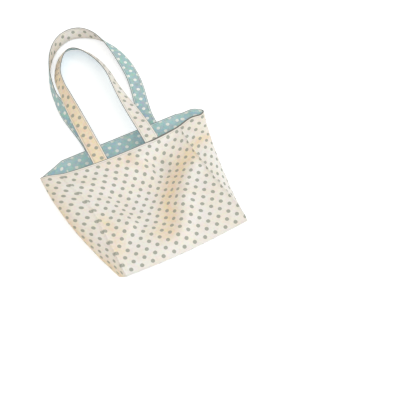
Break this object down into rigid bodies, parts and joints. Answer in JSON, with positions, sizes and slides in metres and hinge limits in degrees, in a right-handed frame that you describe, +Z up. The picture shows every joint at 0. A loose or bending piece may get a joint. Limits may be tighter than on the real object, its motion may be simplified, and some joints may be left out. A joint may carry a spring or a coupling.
{
  "type": "canvas shoulder bag",
  "caption": "Reversible open-topped canvas tote with gusseted sides, boxed bottom, lining and two long strap handles, lying on its back.",
  "frame": {"origin": "middle of the back panel's underside, on the surface the bag lies on", "axes": "+X across the bag to its left side as worn facing the front panel's right, +Y from the bottom to the mouth and the handles, +Z up through the front panel"},
  "size_m": [0.3944, 0.6787, 0.07],
  "materials": {
    "cream_canvas": "matte cream canvas printed with grey-green dots",
    "teal_canvas": "matte teal canvas printed with cream dots",
    "seam_canvas": "folded canvas seam allowance"
  },
  "bodies": {
    "bag": {"outer_front_panel": "cream_canvas", "lining_front_panel": "teal_canvas", "mouth_hem_front_panel": "cream_canvas", "outer_back_panel": "cream_canvas", "lining_back_panel": "teal_canvas", "mouth_hem_back_panel": "cream_canvas", "outer_left_gusset": "cream_canvas", "lining_left_gusset": "teal_canvas", "mouth_hem_left_gusset": "cream_canvas", "outer_right_gusset": "cream_canvas", "lining_right_gusset": "teal_canvas", "mouth_hem_right_gusset": "cream_canvas", "outer_bottom_panel": "cream_canvas", "lining_bottom_panel": "teal_canvas", "seam_front_left": "seam_canvas", "seam_back_left": "seam_canvas", "seam_front_right": "seam_canvas", "seam_back_right": "seam_canvas", "seam_bottom_front": "seam_canvas", "seam_bottom_back": "seam_canvas", "seam_bottom_left": "seam_canvas", "seam_bottom_right": "seam_canvas", "front_left_strap_tab": "teal_canvas", "front_right_strap_tab": "teal_canvas", "rear_left_strap_tab": "cream_canvas", "rear_right_strap_tab": "cream_canvas"},
    "front_handle": {"front_handle_outer_strip": "cream_canvas", "front_handle_inner_strip": "teal_canvas"},
    "rear_handle": {"rear_handle_inner_strip": "teal_canvas", "rear_handle_outer_strip": "cream_canvas"}
  },
  "joints": [
    {"name": "rear_handle_swing", "type": "hinge", "parent": "bag", "child": "rear_handle", "pos_m": [0.004, 0.155, 0.00265], "axis": [1, 0, 0], "range_deg": [0, 120]},
    {"name": "front_handle_swing", "type": "hinge", "parent": "bag", "child": "front_handle", "pos_m": [-0.008, 0.09437, 0.0349], "axis": [1, 0, 0], "range_deg": [0, 144]}
  ],
  "couplings": [
    {"joint": "front_handle_swing", "follows": "rear_handle_swing", "ratio": 1.2}
  ]
}
